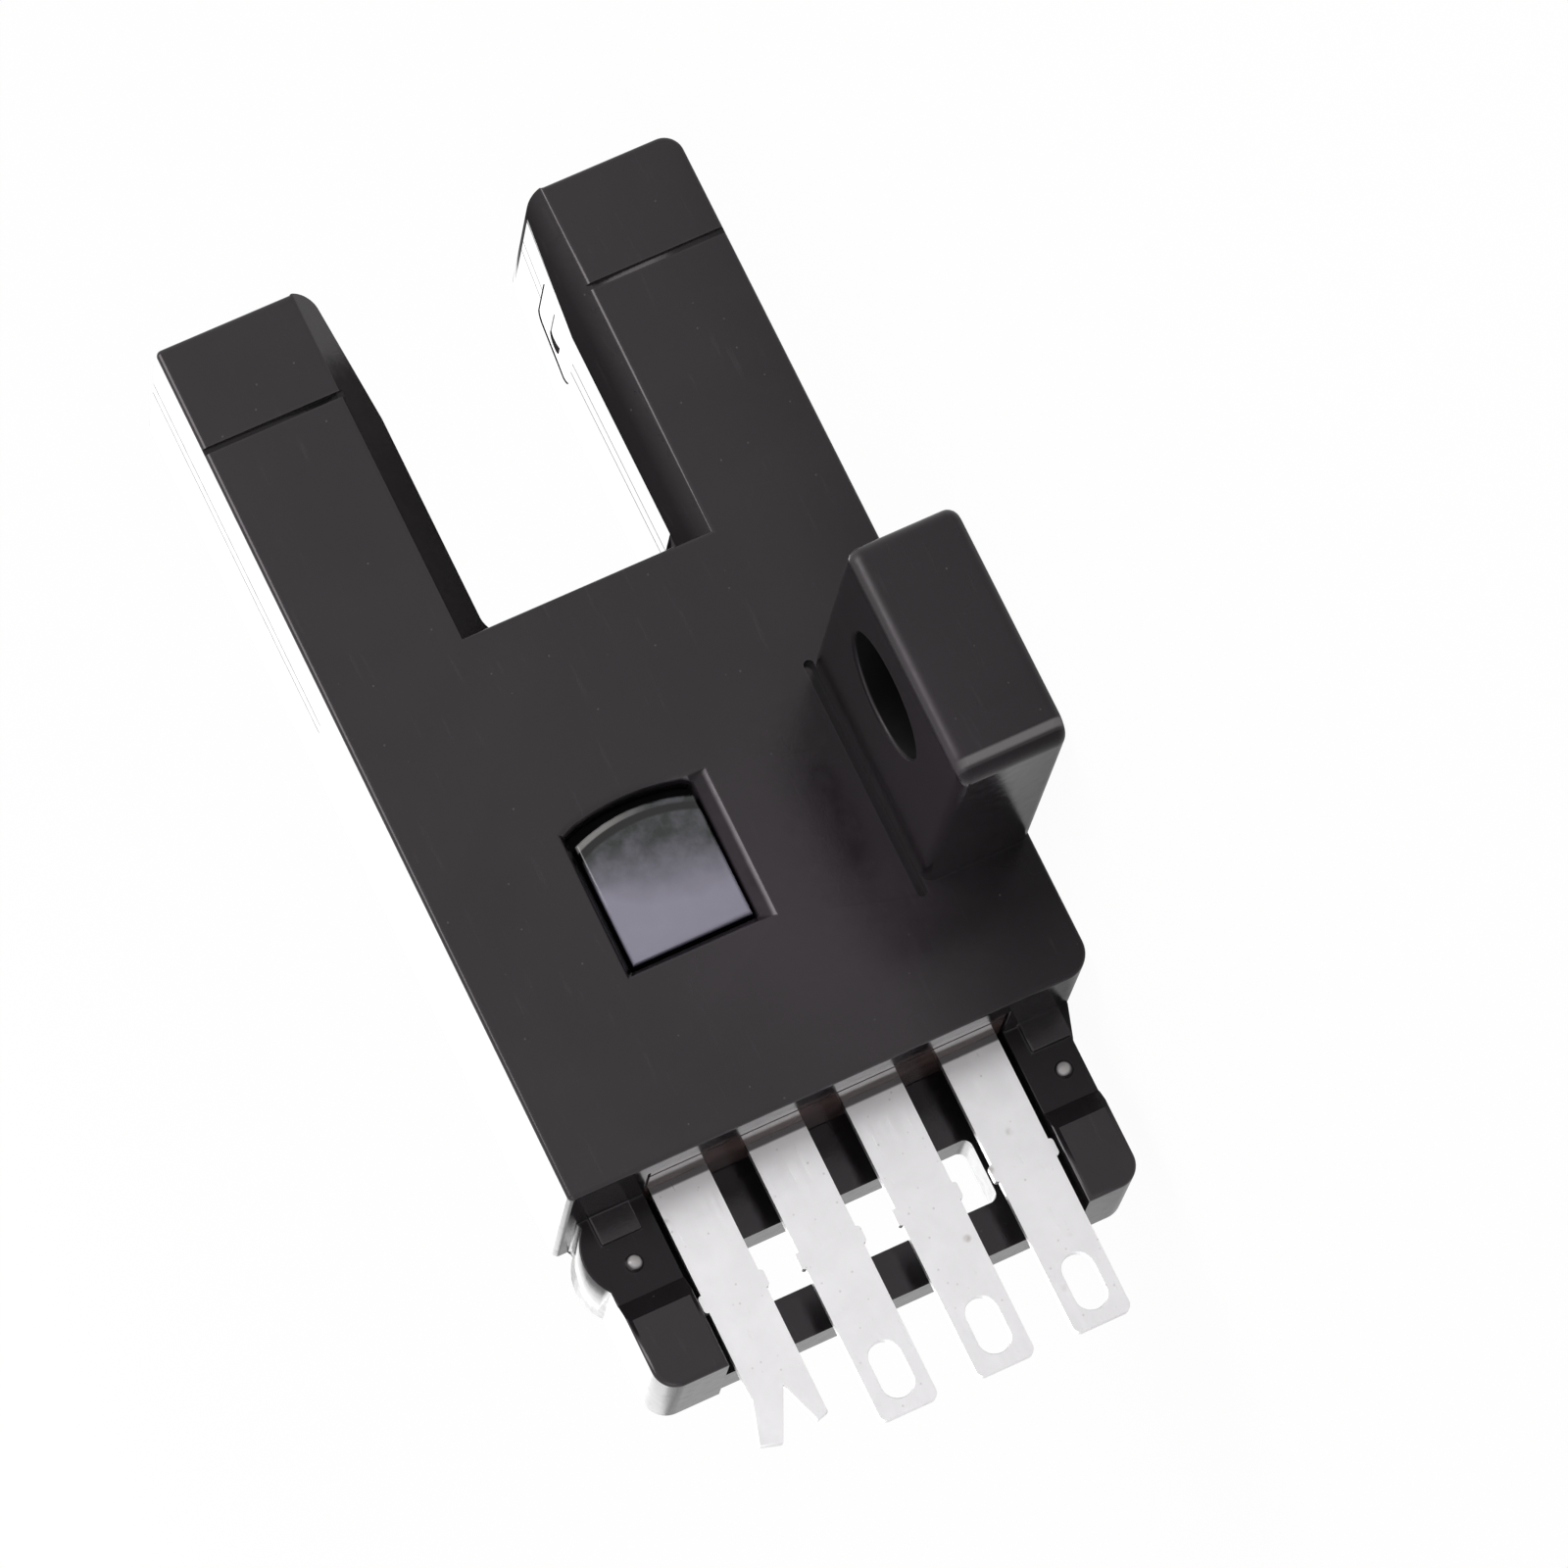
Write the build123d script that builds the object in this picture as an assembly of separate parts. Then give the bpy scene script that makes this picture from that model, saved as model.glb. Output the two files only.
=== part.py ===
from build123d import *
import os

# A slot type photoelectric switch with four solder terminals, in millimetres.
# X runs along the sensor towards the tips of the fork, Z stands up from the mounting face and
# the front, with the indicator, looks along -Y. The origin is on the mounting face, midway
# between the two mounting holes.

# Housing
body_reach = 6.8
body_depth = 5.4
slot_width = 5.0
slot_length = 9.4
slot_root_reach = 6.6
tine_width = 4.35
mouth_flare = 0.3
mouth_length = 3.5
slot_chamfer = 0.8
tip_radius = 0.5
slot_root_radius = 0.5
lower_corner_radius = 0.7
sharp_radius = 0.15
rim_radius = 0.14
front_wall = 0.85
side_wall = 0.8
tip_wall = 0.9
lower_wall = 1.05

# Optical axis and the line that marks it
axis_from_tip = 2.75
mark_width = 0.16
mark_depth = 0.1

# Mounting ears
ear_beyond_hole = 3.35
ear_thickness = 2.8
ear_above_hole = 2.75
ear_below_hole = 3.35
ear_rim_radius = 0.3
ear_nose_radius = 0.4
ear_chin_radius = 0.65
ear_root_margin = 0.3
hole_spacing = 15.5
hole_diameter = 3.2
hole_chamfer = 0.08
relief_width = 0.26
relief_depth = 0.3
relief_overhang = 0.25

# Rear cover
cover_thickness = 0.95
cover_rim = 0.42
cover_clearance = 0.04
cover_bevel = 0.08
cover_post_diameter = 0.7
cover_post_margin = 0.2

# Indicator window
pane_length = 4.04
pane_width = 3.66
pane_above_tails = 0.98
pane_side = 1.44
pane_arch = 0.3
pane_bevel = 0.18
pane_recess = 0.2
pane_groove = 0.28
pane_step = 0.35
pane_edge_radius = 0.1
pane_face = 0.35
pane_skirt = 0.3
pane_flange = 0.3
pane_flange_thickness = 0.25
pane_clearance = 0.03

# Slot windows
lens_length = 2.0
lens_margin = 0.3
lens_corner = 0.3
lens_flange = 0.3
lens_flange_thickness = 0.35
lens_clearance = 0.03
lens_set_back = 0.02
aperture_length = 0.6
aperture_width = 1.8
aperture_depth = 0.05

# Circuit board and its four supports
board_thickness = 0.8
board_clearance = 0.2
board_arm_gap = 0.1
board_gap_above_block = 0.1
pad_length = 0.8
pad_width = 0.5
pad_margin = 0.1

# Terminals
terminal_pitch = 2.54
terminal_count = 4
terminal_width = 1.5
terminal_thickness = 0.25
terminal_reach = 14.1
terminal_tip_radius = 0.2
blade_depth = 2.85
tail_length = 1.7
tail_gap = 0.15
jog_start = 0.35
jog_drop = 0.3
bend_radius = 0.25
eye_width = 0.8
eye_length = 1.45
eye_from_tip = 1.08
nub_height = 0.1
nub_length = 0.45
nub_radius = 0.09
nub_reach = 9.8

# The fork that ends the open terminal
open_terminal_reach = 13.4
fork_length = 1.1
fork_spread = 0.33
fork_slant = 0.16
fork_prong = 0.55
fork_thin_prong = 0.3
fork_root_shift = 0.08
fork_seat = 0.25

# Terminal block
block_length = 1.45
block_lip = 0.05
block_clearance = 0.04
block_bevel = 0.04
terminal_clearance = 0.02

# Connector skirt below the body
skirt_side_gap = 0.16
skirt_side_inset = 0.4
skirt_leg_reach = 11.4
skirt_leg_depth = 2.4
skirt_leg_step = 0.3
skirt_foot_length = 1.9
skirt_ramp = 0.5
skirt_wall = 1.3
skirt_bar_inset = 0.1
skirt_bar_width = 1.15
near_leg_inset = 0.27
shoulder_length = 0.85
skirt_corner_radius = 0.6
skirt_edge_radius = 0.12
latch_width = 6.3
latch_length = 1.65
latch_radius = 0.22
stud_radius = 0.24
stud_height = 0.17
stud_below_body = 1.42
stud_inset = 0.93
bump_radius = 1.3
bump_height = 0.3
bump_below_body = 1.0
root_pad_length = 0.75
root_pad_width = 1.05
root_pad_height = 0.14

# Emitter and receiver
emitter_length = 2.0
emitter_height = 1.3
receiver_length = 2.1
receiver_height = 1.3
dome_radius = 0.35
dome_gap = 0.15
contact_foot = 0.3
contact_height = 0.7
contact_thickness = 0.12
contact_width = 0.4
contact_pitch = 0.7

# Other components on the board
lamp_length = 1.6
lamp_width = 0.8
lamp_height = 0.35
chip_length = 2.9
chip_width = 1.6
chip_height = 1.1
chip_bevel = 0.15
chip_gap = 1.2
transistor_width = 1.3
transistor_height = 1.0
transistor_up = 3.6
transistor_side = 2.45
lead_width = 0.35
lead_thickness = 0.15
lead_foot = 0.45
lead_pitch = 0.95
diode_length = 1.7
diode_width = 1.25
diode_height = 0.85
diode_up = 2.0
diode_side = -1.45
capacitor_length = 2.0
capacitor_width = 1.25
capacitor_height = 1.2
capacitor_up = 4.9
capacitor_side = -0.5
resistor_length = 1.6
resistor_width = 0.8
resistor_height = 0.45
resistor_up = 8.6
resistor_side = -2.65
resistor_step = 2.3
cap_length = 0.3
cap_raise = 0.03
solder_width = 0.3
solder_height = 0.14
solder_bevel = 0.1

# How far a cutter runs past a surface, and how near an edge lies to the place that picks it
overrun = 1.0
pick = 0.01

# Depths, from the front face to the back face
front = -body_depth / 2
back = body_depth / 2
wall_face = front + front_wall
cover_face = back - cover_thickness
tail_front = wall_face + tail_gap
board_front = tail_front + terminal_thickness
board_back = board_front + board_thickness
optic_y = (wall_face + cover_face) / 2
lens_width = cover_face - wall_face - 2 * (lens_flange + lens_margin)
blade_front = front + blade_depth - terminal_thickness / 2

# Places along the sensor and above the mounting face
fork_reach = slot_root_reach + slot_length
body_width = slot_width + 2 * tine_width
slot_height = body_width / 2
mouth_x = fork_reach - mouth_length
axis_x = fork_reach - axis_from_tip
slot_near = slot_height - slot_width / 2
slot_far = slot_height + slot_width / 2
cavity_top = fork_reach - tip_wall
lens_depth = side_wall + mouth_flare
lens_end = lens_depth + lens_flange_thickness
lens_drop = lens_set_back + mouth_flare * (axis_x - mouth_x) / mouth_length
optic_depth = lens_end + dome_gap + dome_radius
optic_width = tine_width - optic_depth - side_wall - 2 * board_clearance
emitter_z = slot_far + optic_depth + optic_width / 2
receiver_z = slot_near - optic_depth - optic_width / 2
block_bottom = -body_reach + block_lip
block_top = block_bottom + block_length
board_bottom = block_top + board_gap_above_block
pane_low = board_bottom + tail_length + pane_above_tails
pane_centre_x = pane_low + pane_length / 2
pane_centre_z = slot_height + pane_side
transistor_x = board_bottom + transistor_up
transistor_z = slot_height + transistor_side
control_x = transistor_x + chip_length + chip_gap
diode_x = board_bottom + diode_up
diode_z = slot_height + diode_side
capacitor_x = board_bottom + capacitor_up
capacitor_z = slot_height + capacitor_side
resistor_x = board_bottom + resistor_up
resistor_z = slot_height + resistor_side
skirt_root = -body_reach + lower_wall / 2
skirt_front = front + skirt_leg_depth
skirt_step_face = skirt_front + skirt_leg_step
skirt_plate = back - skirt_wall
row_half = terminal_pitch * (terminal_count - 1) / 2 + terminal_width / 2
skirt_inner = row_half + skirt_side_gap
skirt_near = slot_height - skirt_inner
skirt_far = slot_height + skirt_inner
skirt_leg_width = body_width / 2 - skirt_side_inset - skirt_inner
skirt_step_reach = skirt_leg_reach - skirt_foot_length - skirt_ramp
skirt_bar_reach = skirt_leg_reach - skirt_bar_inset
latch_bottom = skirt_bar_reach - skirt_bar_width


def cuboid(x, y, z):
    """A block between the two values of each of x, y and z."""
    size = Box(x[1] - x[0], y[1] - y[0], z[1] - z[0])
    return Pos((x[0] + x[1]) / 2, (y[0] + y[1]) / 2, (z[0] + z[1]) / 2) * size


def slab(outline, y_front, y_back):
    """A plate whose outline lies in X and Z, between two depths."""
    return extrude(Plane.XZ.offset(-y_back) * outline, amount=y_back - y_front)


def shape(points):
    """A flat face bounded by straight lines."""
    return make_face(Polyline(*points, close=True))


def edges_at(solid, axis, place):
    """The edges that lie at one place along an axis."""
    return solid.edges().filter_by_position(axis, place - pick, place + pick)


def soften(outline, corners):
    """Rounds the corners of a flat face: each entry is a place and its radius."""
    for x, z, radius in corners:
        corner = outline.vertices().sort_by_distance((x, z, 0))[0]
        outline = fillet(corner, radius)
    return outline


def fork_outline(inset=0.0):
    """The outline of the fork and body with sharp corners, moved inwards by an inset."""
    low = -body_reach + inset
    tip = fork_reach - inset
    root = slot_root_reach - inset
    near = slot_near - inset
    far = slot_far + inset
    top = body_width - inset
    return shape([
        (low, inset), (tip, inset), (tip, near - mouth_flare), (mouth_x, near), (root, near),
        (root, far), (mouth_x, far), (tip, far + mouth_flare), (tip, top), (low, top),
    ])


def rounded_fork_outline():
    """The outline of the fork and body with its corners rounded."""
    return soften(fork_outline(), [
        (-body_reach, 0, lower_corner_radius),
        (fork_reach, 0, tip_radius),
        (fork_reach, slot_near - mouth_flare, tip_radius),
        (slot_root_reach, slot_near, slot_root_radius),
        (slot_root_reach, slot_far, slot_root_radius),
        (fork_reach, slot_far + mouth_flare, tip_radius),
        (fork_reach, body_width, sharp_radius),
        (-body_reach, body_width, sharp_radius),
    ])


def slot_bevel(wall, side):
    """The wedge cut from the front edge of a slot wall: side points from the slot to its tine."""
    run = slot_width / 2
    wedge = shape([
        (front + slot_chamfer + run, wall - side * run),
        (front - run, wall + side * (slot_chamfer + run)),
        (front - run, wall - side * run),
    ])
    return Pos(slot_root_reach, 0, 0) * extrude(Plane.YZ * wedge, amount=slot_length + overrun)


def cavity():
    """The hollow inside the body and both tines, open at the back."""
    low = -body_reach + lower_wall
    high = body_width - side_wall
    near = slot_near - lens_depth
    far = slot_far + lens_depth
    root = slot_root_reach - side_wall
    outline = shape([
        (low, side_wall), (cavity_top, side_wall), (cavity_top, near), (root, near),
        (root, far), (cavity_top, far), (cavity_top, high), (low, high),
    ])
    return slab(outline, wall_face, back + overrun)


def cover_outline(gap=0.0):
    """The outline of the rear cover, notched round the root of the back ear."""
    low = -ear_below_hole - ear_root_margin - gap
    high = ear_above_hole + ear_root_margin + gap
    reach = ear_thickness + ear_root_margin + gap
    notch = Pos((low + high) / 2, 0) * Rectangle(high - low, 2 * reach)
    return fork_outline(cover_rim + gap) - notch


def ear(side):
    """One mounting ear without its hole: side is -1 on the front face and 1 on the back."""
    outer = side * (hole_spacing / 2 + ear_beyond_hole)
    root = side * cover_face
    profile = shape([
        (-ear_below_hole, root), (ear_above_hole, root), (ear_above_hole, outer), (-ear_below_hole, outer),
    ])
    profile = fillet(profile.vertices().sort_by_distance((ear_above_hole, outer))[0], ear_nose_radius)
    profile = fillet(profile.vertices().sort_by_distance((-ear_below_hole, outer))[0], ear_chin_radius)
    solid = extrude(profile, amount=ear_thickness, dir=(0, 0, 1))
    inner = edges_at(solid, Axis.Y, root)
    for height in (0, ear_thickness):
        solid = fillet(edges_at(solid, Axis.Z, height) - inner, ear_rim_radius)
    return solid


def ear_bore(side):
    """The screw hole of one ear, with a small chamfer at both ends."""
    bore = Pos(0, 0, ear_thickness / 2) * Cylinder(hole_diameter / 2, ear_thickness)
    lead = Cone(hole_diameter / 2 + hole_chamfer, hole_diameter / 2, hole_chamfer)
    bottom = Pos(0, 0, hole_chamfer / 2) * lead
    top = Pos(0, 0, ear_thickness - hole_chamfer / 2) * Rot(180, 0, 0) * lead
    return Pos(0, side * hole_spacing / 2, 0) * (bore + top + bottom)


def ear_relief():
    """The shallow groove in the front face along the root of the front ear."""
    length = ear_above_hole + ear_below_hole + relief_overhang
    middle = (ear_above_hole - ear_below_hole - relief_overhang) / 2
    place = Pos(middle, ear_thickness + relief_width / 2)
    return slab(place * SlotOverall(length, relief_width), front - overrun, front + relief_depth)


def skirt_leg(width):
    """A leg of the connector skirt at the far side: its lower part stands prouder than its root."""
    profile = shape([
        (skirt_root, skirt_step_face), (-skirt_step_reach, skirt_step_face),
        (-skirt_step_reach - skirt_ramp, skirt_front), (-skirt_leg_reach, skirt_front),
        (-skirt_leg_reach, back), (skirt_root, back),
    ])
    leg = extrude(profile, amount=width)
    corner = edges_at(leg, Axis.X, -skirt_leg_reach).filter_by(Axis.Y).sort_by(Axis.Z)[-1]
    leg = fillet(corner, skirt_corner_radius)
    face_edges = edges_at(leg, Axis.Y, skirt_front).filter_by(Axis.Z, reverse=True)
    return Pos(0, 0, skirt_far) * fillet(face_edges, skirt_edge_radius)


def skirt_shoulder():
    """The slope at the root of the near leg, which widens there to meet the side of the body."""
    outer = skirt_near - skirt_leg_width
    low = -body_reach - shoulder_length
    outline = shape([
        (skirt_root, outer), (-body_reach, outer), (low, outer + near_leg_inset), (low, skirt_near),
        (skirt_root, skirt_near),
    ])
    return slab(outline, skirt_step_face, back)


def skirt_bump():
    """The shallow round bump on the outer side of the far leg."""
    outer = skirt_far + skirt_leg_width
    place = Pos(-body_reach - bump_below_body, outer + bump_height - bump_radius)
    disc = slab(place * Circle(bump_radius), skirt_step_face, back)
    return disc & cuboid((-skirt_leg_reach, 0), (skirt_step_face, back), (skirt_far, body_width))


def skirt_root_details(side):
    """The small pad and the round stud on the front of one leg, below the body."""
    centre = slot_height + side * (skirt_inner + stud_inset)
    stud_y = skirt_step_face - stud_height + stud_radius
    stud = Pos(-body_reach - stud_below_body, stud_y, centre) * Sphere(stud_radius)
    pad = cuboid(
        (-body_reach - root_pad_length, -body_reach),
        (skirt_step_face - root_pad_height, skirt_step_face),
        (centre - root_pad_width / 2, centre + root_pad_width / 2),
    )
    return [stud, pad]


def skirt():
    """The connector skirt: two legs, a back plate with the latch opening, and its root details."""
    near_leg = mirror(skirt_leg(skirt_leg_width - near_leg_inset), Plane.XY.offset(slot_height))
    plate = cuboid((-skirt_bar_reach, skirt_root), (skirt_plate, back), (skirt_near, skirt_far))
    opening = RectangleRounded(latch_length, latch_width, latch_radius)
    place = Pos(-latch_bottom + latch_length / 2, slot_height)
    plate -= slab(place * opening, skirt_plate - overrun, back + overrun)
    whole = skirt_leg(skirt_leg_width) + near_leg + plate + skirt_bump() + skirt_shoulder()
    for side in (-1, 1):
        whole += skirt_root_details(side)
    return whole


def pane_outline(grow):
    """The indicator opening: its side towards the fork is slightly arched."""
    low = pane_low - grow
    high = pane_low + pane_length + grow - pane_arch
    left = pane_centre_z - pane_width / 2 - grow
    right = pane_centre_z + pane_width / 2 + grow
    sides = Polyline((high, left), (low, left), (low, right), (high, right))
    arch = ThreePointArc((high, right), (high + pane_arch, pane_centre_z), (high, left))
    return make_face(sides + arch)


def pane_rim(body):
    """The edges of the indicator opening in the front face."""
    half = pane_width / 2 + pick
    rim = edges_at(body, Axis.Y, front)
    rim = rim.filter_by_position(Axis.X, pane_low - pick, pane_low + pane_length + pick)
    return rim.filter_by_position(Axis.Z, pane_centre_z - half, pane_centre_z + half)


def lens_outline(grow):
    """The outline of a slot window about the optical axis, seen along Z."""
    length = lens_length + 2 * grow
    width = lens_width + 2 * grow
    return Pos(axis_x, optic_y) * RectangleRounded(length, width, lens_corner + grow)


def lens_hole(wall, side):
    """The hole for a window in one slot wall."""
    start = wall - side * overrun
    return Pos(0, 0, start) * extrude(lens_outline(0), amount=side * (lens_depth + 2 * overrun))


def board_supports():
    """The four places where the board is held: X, and which side of the body."""
    low = board_bottom + pad_margin + pad_length / 2
    high = slot_root_reach - side_wall - pad_margin - pad_length / 2
    return [(x, side) for x in (low, high) for side in (-1, 1)]


def board_pad(x, side):
    """A pad in the corner of the front wall and a side wall, which the board lies on."""
    inner = slot_height + side * (body_width / 2 - side_wall - pad_width)
    outer = slot_height + side * (body_width / 2 - side_wall / 2)
    root = wall_face - front_wall / 2
    return cuboid((x - pad_length / 2, x + pad_length / 2), (root, board_front), sorted((inner, outer)))


def cover_post(x, side):
    """A post on the cover that presses the board on its pad."""
    reach = body_width / 2 - side_wall - cover_post_margin - cover_post_diameter / 2
    place = Pos(x, slot_height + side * reach)
    return slab(place * Circle(cover_post_diameter / 2), board_back, cover_face)


def case():
    """The moulded housing with its tines, ears and connector skirt."""
    body = slab(rounded_fork_outline(), front, back)
    body -= [slot_bevel(slot_near, -1), slot_bevel(slot_far, 1)]
    body = fillet(edges_at(body, Axis.Y, front), rim_radius)
    body -= slab(pane_outline(0), front - overrun, wall_face + overrun)
    body = chamfer(pane_rim(body), pane_bevel)
    body += [ear(-1), ear(1), skirt()]
    body -= cavity()
    body -= slab(cover_outline(), cover_face, back + overrun)
    body += cuboid(
        (-ear_below_hole - ear_root_margin, ear_above_hole + ear_root_margin),
        (cover_face, back),
        (side_wall / 2, ear_thickness + ear_root_margin),
    )
    body += [board_pad(x, side) for x, side in board_supports()]
    body -= [ear_bore(-1), ear_bore(1), ear_relief()]
    body -= [lens_hole(slot_near, -1), lens_hole(slot_far, 1)]
    body -= cuboid(
        (-body_reach - overrun, -body_reach + lower_wall + overrun),
        (wall_face, skirt_plate),
        (skirt_near, skirt_far),
    )
    body -= cuboid(
        (axis_x - mark_width / 2, axis_x + mark_width / 2),
        (front - overrun, front + mark_depth),
        (-overrun, body_width + overrun),
    )
    return body


def rear_cover():
    """The flat cover in the back of the case, with posts that hold the board on its pads."""
    plate = slab(cover_outline(cover_clearance), cover_face, back)
    plate = chamfer(edges_at(plate, Axis.Y, back), cover_bevel)
    return plate + [cover_post(x, side) for x, side in board_supports()]


def indicator_window():
    """The translucent cap over the indicator lamp, held behind the front wall by a flange."""
    face = front + pane_recess
    cap = slab(pane_outline(-pane_groove), face, wall_face)
    cap = fillet(edges_at(cap, Axis.Y, face), pane_edge_radius)
    cap += slab(pane_outline(-pane_clearance), face + pane_step, wall_face)
    cap += slab(pane_outline(pane_flange), wall_face, wall_face + pane_flange_thickness)
    hollow = pane_outline(-pane_skirt - pane_groove)
    return cap - slab(hollow, face + pane_face, wall_face + overrun)


def slot_window(wall, side):
    """The infrared window, flush with one slot wall: side points from the slot to its tine."""
    plug = extrude(lens_outline(-lens_clearance), amount=side * (lens_depth + overrun))
    plug = Pos(0, 0, wall - side * overrun) * plug
    plug &= slab(fork_outline(lens_set_back), front, back)
    flange = extrude(lens_outline(lens_flange), amount=side * lens_flange_thickness)
    return plug + Pos(0, 0, wall + side * lens_depth) * flange


def receiver_window():
    """The window in front of the receiver, with a narrow aperture sunk into its face."""
    slit = Pos(axis_x, optic_y) * Rot(0, 0, 90) * SlotOverall(aperture_width, aperture_length)
    floor = slot_near - lens_drop - aperture_depth
    return slot_window(slot_near, -1) - Pos(0, 0, floor) * extrude(slit, amount=overrun)


def terminal_places():
    """The height of each terminal above the mounting face, the far one first."""
    middle = (terminal_count - 1) / 2
    return [slot_height + terminal_pitch * (middle - i) for i in range(terminal_count)]


def strip(z, reach, grow=0.0):
    """A strip whose tail lies on the board: it jogs back in the block and runs down as the blade."""
    tail_y = tail_front + terminal_thickness / 2
    blade_y = blade_front + terminal_thickness / 2
    jog = block_top - jog_start
    path = FilletPolyline(
        (board_bottom + tail_length, tail_y), (jog, tail_y), (jog - jog_drop, blade_y),
        (-reach, blade_y), radius=bend_radius,
    )
    start = Plane(origin=path @ 0, x_dir=(0, 0, 1), z_dir=path % 0)
    section = start * Rectangle(terminal_width + 2 * grow, terminal_thickness + 2 * grow)
    return Pos(0, 0, z) * sweep(section, path=path)


def through_blade(outline):
    """A piece with an outline in X and Z that is as thick as a terminal's blade."""
    return slab(outline, blade_front, blade_front + terminal_thickness)


def nubs(z):
    """The two stubs that the cut tie bar leaves on the edges of a blade."""
    size = RectangleRounded(nub_length, terminal_width + 2 * nub_height, nub_radius)
    return through_blade(Pos(-nub_reach, z) * size)


def terminal(z):
    """A solder terminal with an oval eye near its rounded tip."""
    blade = strip(z, terminal_reach) + nubs(z)
    blade -= through_blade(Pos(-terminal_reach + eye_from_tip, z) * SlotOverall(eye_length, eye_width))
    tip = edges_at(blade, Axis.X, -terminal_reach).filter_by(Axis.Y)
    return fillet(tip, terminal_tip_radius)


def open_terminal(z):
    """The terminal whose eye is open: its end is a fork with a broad and a thin prong."""
    root = -open_terminal_reach + fork_length
    far_side = z + terminal_width / 2
    near_side = z - terminal_width / 2
    fork = shape([
        (root + fork_seat, far_side),
        (root, far_side),
        (-open_terminal_reach, far_side + fork_spread),
        (-open_terminal_reach - fork_slant, far_side + fork_spread - fork_prong),
        (root, z - fork_root_shift),
        (-open_terminal_reach, near_side + fork_thin_prong),
        (-open_terminal_reach + fork_root_shift, near_side),
        (root, near_side),
        (root + fork_seat, near_side),
    ])
    return strip(z, -root) + nubs(z) + through_blade(fork)


def terminal_block():
    """The smoky block that closes the foot of the case and carries the terminals."""
    block = cuboid(
        (block_bottom, block_top),
        (wall_face + block_clearance, skirt_plate - block_clearance),
        (skirt_near + block_clearance, skirt_far - block_clearance),
    )
    block = chamfer(edges_at(block, Axis.X, block_bottom), block_bevel)
    return block - [strip(z, terminal_reach, terminal_clearance) for z in terminal_places()]


def circuit_board():
    """The board: its body fills the case and two arms reach into the tines."""
    low = side_wall + board_clearance
    high = body_width - side_wall - board_clearance
    neck = slot_root_reach - side_wall - board_clearance
    top = cavity_top - board_clearance
    near = slot_near - lens_end - board_arm_gap
    far = slot_far + lens_end + board_arm_gap
    outline = shape([
        (board_bottom, low), (top, low), (top, near), (neck, near),
        (neck, far), (top, far), (top, high), (board_bottom, high),
    ])
    return slab(outline, board_front, board_back)


def solder_joint(z):
    """The bevelled solder round the end of one terminal's tail."""
    half = terminal_width / 2
    face = board_front - solder_height
    joint = cuboid(
        (board_bottom + pad_margin, board_bottom + tail_length + solder_width),
        (face, board_front),
        (z - half - solder_width, z + half + solder_width),
    )
    joint = chamfer(edges_at(joint, Axis.Y, face), solder_bevel)
    return joint - cuboid(
        (board_bottom - overrun, board_bottom + tail_length),
        (tail_front - overrun, board_front + overrun),
        (z - half, z + half),
    )


def on_board(x, z, length, width, height):
    """A component body on the back of the board."""
    return cuboid(
        (x - length / 2, x + length / 2), (board_back, board_back + height), (z - width / 2, z + width / 2)
    )


def domed(z, length, height, side):
    """An optical component whose dome looks across the slot."""
    dome = Pos(axis_x, board_back + height / 2, z + side * optic_width / 2) * Sphere(dome_radius)
    return on_board(axis_x, z, length, optic_width, height) + dome


def bent_lead(x, z, outward, width, foot, height, thickness):
    """A bent lead: it rises along the side of a component and its foot lies on the board."""
    profile = shape([
        (0, 0), (foot, 0), (foot, thickness), (thickness, thickness), (thickness, height), (0, height)
    ])
    across = Vector(outward).cross(Vector(0, 1, 0))
    seat = Plane(origin=(x, board_back, z), x_dir=outward, z_dir=across)
    return extrude(seat * profile, amount=width / 2, both=True)


def end_contact(z, length, end, offset=0.0):
    """A contact at one end of an optical component: end is -1 or 1, with an offset along Z."""
    x = axis_x + end * length / 2
    size = (contact_width, contact_foot, contact_height, contact_thickness)
    return bent_lead(x, z + offset, (end, 0, 0), *size)


def side_lead(x, z, width, height, side, offset=0.0):
    """A lead on one long side of a chip: side is -1 or 1, with an offset along X."""
    edge = z + side * width / 2
    return bent_lead(x + offset, edge, (0, 0, side), lead_width, lead_foot, height / 2, lead_thickness)


def end_lead(x, z, length, height, end):
    """A lead at one end of a component."""
    place = x + end * length / 2
    return bent_lead(place, z, (end, 0, 0), lead_width, lead_foot, height / 2, lead_thickness)


def chip_component(x, z, length, width, height):
    """A two terminal chip: a ceramic body with slightly raised metal ends."""
    body = on_board(x, z, length, width, height)
    for side in (-1, 1):
        end = x + side * (length - cap_length) / 2
        body += on_board(end, z, cap_length, width + 2 * cap_raise, height + cap_raise)
    return body


def moulded_chip(x, z, length, width, height):
    """A moulded component body whose upper edges are bevelled."""
    body = on_board(x, z, length, width, height)
    return chamfer(edges_at(body, Axis.Y, board_back + height), chip_bevel)


def indicator_lamp():
    """The lamp chip on the front of the board, behind the indicator window."""
    outline = Pos(pane_centre_x, pane_centre_z) * Rectangle(lamp_length, lamp_width)
    return slab(outline, board_front - lamp_height, board_front)


control_leads = [
    side_lead(control_x, transistor_z, chip_width, chip_height, side, offset)
    for side in (-1, 1) for offset in (-lead_pitch, 0, lead_pitch)
]
transistor_leads = [
    side_lead(transistor_x, transistor_z, transistor_width, transistor_height, side, offset)
    for side, offset in ((-1, -lead_pitch), (-1, lead_pitch), (1, 0))
]
diode_leads = [end_lead(diode_x, diode_z, diode_length, diode_height, end) for end in (-1, 1)]
emitter_contacts = [end_contact(emitter_z, emitter_length, end) for end in (-1, 1)]
receiver_contacts = [
    end_contact(receiver_z, receiver_length, end, offset)
    for end, offset in ((-1, -contact_pitch / 2), (-1, contact_pitch / 2), (1, 0))
]

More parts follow.
